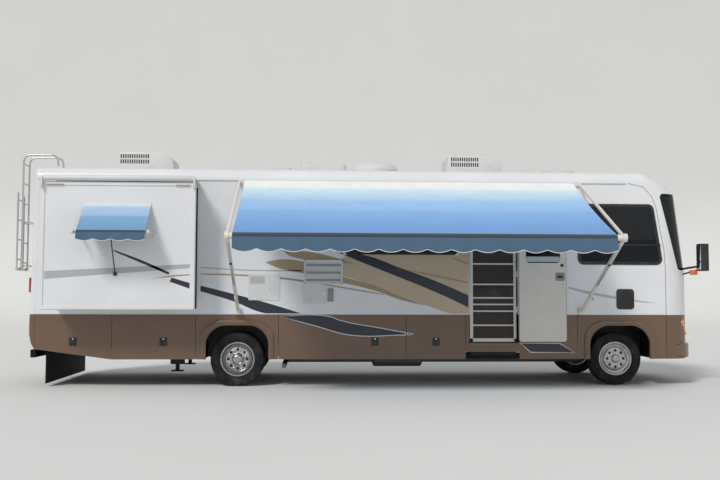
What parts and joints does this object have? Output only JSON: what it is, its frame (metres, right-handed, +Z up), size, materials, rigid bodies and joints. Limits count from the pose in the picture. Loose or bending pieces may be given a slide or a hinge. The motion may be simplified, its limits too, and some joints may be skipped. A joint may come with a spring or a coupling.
{
  "type": "motorhome",
  "caption": "Coach-built motorhome with a rear slide-out room, entry and screen doors, storage doors, roof ladder, steered front axle, twin rear wheels and a deployed side awning.",
  "frame": {"origin": "on the ground under the middle of the overall box", "axes": "+X forward, +Z up; the curb side with the doors and the awning is at -Y"},
  "size_m": [10.4917, 4.917, 3.673],
  "materials": {
    "body_white": "white gelcoat",
    "skirt_paint": "brown gloss paint",
    "frame_black": "black paint",
    "chassis_black": "satin chassis black",
    "cast_grey": "raw casting",
    "galvanised": "galvanised",
    "bright_metal": "polished",
    "aluminium_trim": "brushed",
    "arm_ivory": "ivory powder coat",
    "tyre_black": "matt",
    "plastic_white": "satin white",
    "plastic_black": "satin black",
    "tinted_glass": "dark tint",
    "clear_glass": "clear",
    "lamp_red": "clear red",
    "mesh_brown": "woven screen in a painted frame",
    "awning_cloth": "striped acrylic cloth",
    "seat_cloth": "woven",
    "dash_plastic": "grained"
  },
  "bodies": {
    "coach": {"air_conditioners": "plastic_white", "awning_canopy": "awning_cloth", "awning_frame": "arm_ivory", "chassis_frame": "chassis_black", "curb_wall": "body_white", "dashboard": "dash_plastic", "driveline": "galvanised", "engine": "cast_grey", "far_wall": "body_white", "floor": "galvanised", "front_axle": "cast_grey", "front_bumper": "body_white", "front_cap": "body_white", "grille": "plastic_black", "ladder_upper": "aluminium_trim", "lamps": "lamp_red", "mirrors": "plastic_black", "rear_axle": "cast_grey", "rear_bumper": "chassis_black", "rear_cap": "body_white", "roof": "body_white", "roof_fittings": "plastic_white", "seats": "seat_cloth", "skirts": "skirt_paint", "storage_bays": "galvanised", "wall_hatches": "plastic_white", "window_frames": "frame_black", "window_panes": "tinted_glass", "windshield": "clear_glass"},
    "slide_out": {"slide_room": "body_white", "slide_window_pane": "tinted_glass", "slide_awning_arms": "arm_ivory", "window_awning_canopy": "awning_cloth", "topper_sheet": "awning_cloth"},
    "entry_door": {"entry_door": "body_white", "entry_door_pane": "tinted_glass"},
    "screen_door": {"screen_door": "mesh_brown"},
    "entry_step": {"entry_step": "chassis_black"},
    "ladder_lower": {"ladder_lower": "aluminium_trim"},
    "steering_wheel": {"steering_wheel": "dash_plastic"},
    "knuckle_curb": {"knuckle_curb": "cast_grey"},
    "front_wheel_curb": {"front_wheel_curb": "bright_metal", "front_tyre_curb": "tyre_black"},
    "rear_wheels_curb": {"rear_wheels_curb": "bright_metal", "rear_tyres_curb": "tyre_black"},
    "knuckle_far": {"knuckle_far": "cast_grey"},
    "front_wheel_far": {"front_wheel_far": "bright_metal", "front_tyre_far": "tyre_black"},
    "rear_wheels_far": {"rear_wheels_far": "bright_metal", "rear_tyres_far": "tyre_black"},
    "curb_bay_door_a": {"curb_bay_door_a": "skirt_paint"},
    "curb_bay_door_b": {"curb_bay_door_b": "skirt_paint"},
    "curb_bay_door_c": {"curb_bay_door_c": "skirt_paint"},
    "curb_bay_door_d": {"curb_bay_door_d": "skirt_paint"},
    "far_bay_door_b": {"far_bay_door_b": "skirt_paint"},
    "far_bay_door_c": {"far_bay_door_c": "skirt_paint"}
  },
  "joints": [
    {"name": "slide_out_travel", "type": "slide", "parent": "coach", "child": "slide_out", "axis": [0, -1, 0], "range_m": [-0.5, 0], "deforming": ["topper_sheet"]},
    {"name": "screen_door_hinge", "type": "hinge", "parent": "coach", "child": "screen_door", "pos_m": [2.34702, -0.3825, 1.6], "axis": [0, 0, 1], "range_deg": [0, 90]},
    {"name": "steer_curb", "type": "hinge", "parent": "coach", "child": "knuckle_curb", "pos_m": [3.89852, -0.0165, 0.405], "axis": [0, 0, 1], "range_deg": [-35, 35]},
    {"name": "steer_far", "type": "hinge", "parent": "coach", "child": "knuckle_far", "pos_m": [3.89852, 1.7435, 0.405], "axis": [0, 0, 1], "range_deg": [-35, 35]},
    {"name": "entry_door_hinge", "type": "hinge", "parent": "coach", "child": "entry_door", "pos_m": [2.36302, -0.426, 1.6], "axis": [0, 0, 1], "range_deg": [-180, 0]},
    {"name": "ladder_fold", "type": "hinge", "parent": "coach", "child": "ladder_lower", "pos_m": [-5.19698, -0.059, 1.736], "axis": [0, -1, 0], "range_deg": [0, 180]},
    {"name": "entry_step_travel", "type": "slide", "parent": "coach", "child": "entry_step", "axis": [0, -1, 0], "range_m": [0, 0.28]},
    {"name": "curb_bay_door_a_hinge", "type": "hinge", "parent": "coach", "child": "curb_bay_door_a", "pos_m": [1.00302, -0.4115, 1.0777], "axis": [-1, 0, 0], "range_deg": [0, 88]},
    {"name": "curb_bay_door_b_hinge", "type": "hinge", "parent": "coach", "child": "curb_bay_door_b", "pos_m": [1.00302, -0.4115, 1.0777], "axis": [-1, 0, 0], "range_deg": [0, 88]},
    {"name": "curb_bay_door_c_hinge", "type": "hinge", "parent": "coach", "child": "curb_bay_door_c", "pos_m": [1.00302, -0.4115, 1.0777], "axis": [-1, 0, 0], "range_deg": [0, 88]},
    {"name": "curb_bay_door_d_hinge", "type": "hinge", "parent": "coach", "child": "curb_bay_door_d", "pos_m": [1.00302, -0.4115, 1.0777], "axis": [-1, 0, 0], "range_deg": [0, 88]},
    {"name": "far_bay_door_b_hinge", "type": "hinge", "parent": "coach", "child": "far_bay_door_b", "pos_m": [1.00302, 2.1385, 1.0777], "axis": [1, 0, 0], "range_deg": [0, 88]},
    {"name": "far_bay_door_c_hinge", "type": "hinge", "parent": "coach", "child": "far_bay_door_c", "pos_m": [1.00302, 2.1385, 1.0777], "axis": [1, 0, 0], "range_deg": [0, 88]},
    {"name": "steering_wheel_turn", "type": "hinge", "parent": "coach", "child": "steering_wheel", "pos_m": [4.33302, 1.4235, 1.745], "axis": [-0.6429, 0, 0.7659], "range_deg": [-420, 420]},
    {"name": "front_wheel_curb_spin", "type": "hinge", "parent": "knuckle_curb", "child": "front_wheel_curb", "pos_m": [3.89852, -0.1985, 0.405], "axis": [0, 1, 0], "continuous": true},
    {"name": "rear_wheels_curb_spin", "type": "hinge", "parent": "coach", "child": "rear_wheels_curb", "pos_m": [-1.89248, -0.1075, 0.405], "axis": [0, 1, 0], "continuous": true},
    {"name": "front_wheel_far_spin", "type": "hinge", "parent": "knuckle_far", "child": "front_wheel_far", "pos_m": [3.89852, 1.9255, 0.405], "axis": [0, 1, 0], "continuous": true},
    {"name": "rear_wheels_far_spin", "type": "hinge", "parent": "coach", "child": "rear_wheels_far", "pos_m": [-1.89248, 1.8345, 0.405], "axis": [0, 1, 0], "continuous": true}
  ],
  "couplings": [
    {"joint": "steer_far", "follows": "steer_curb", "ratio": 1},
    {"joint": "steering_wheel_turn", "follows": "steer_curb", "ratio": 12}
  ]
}
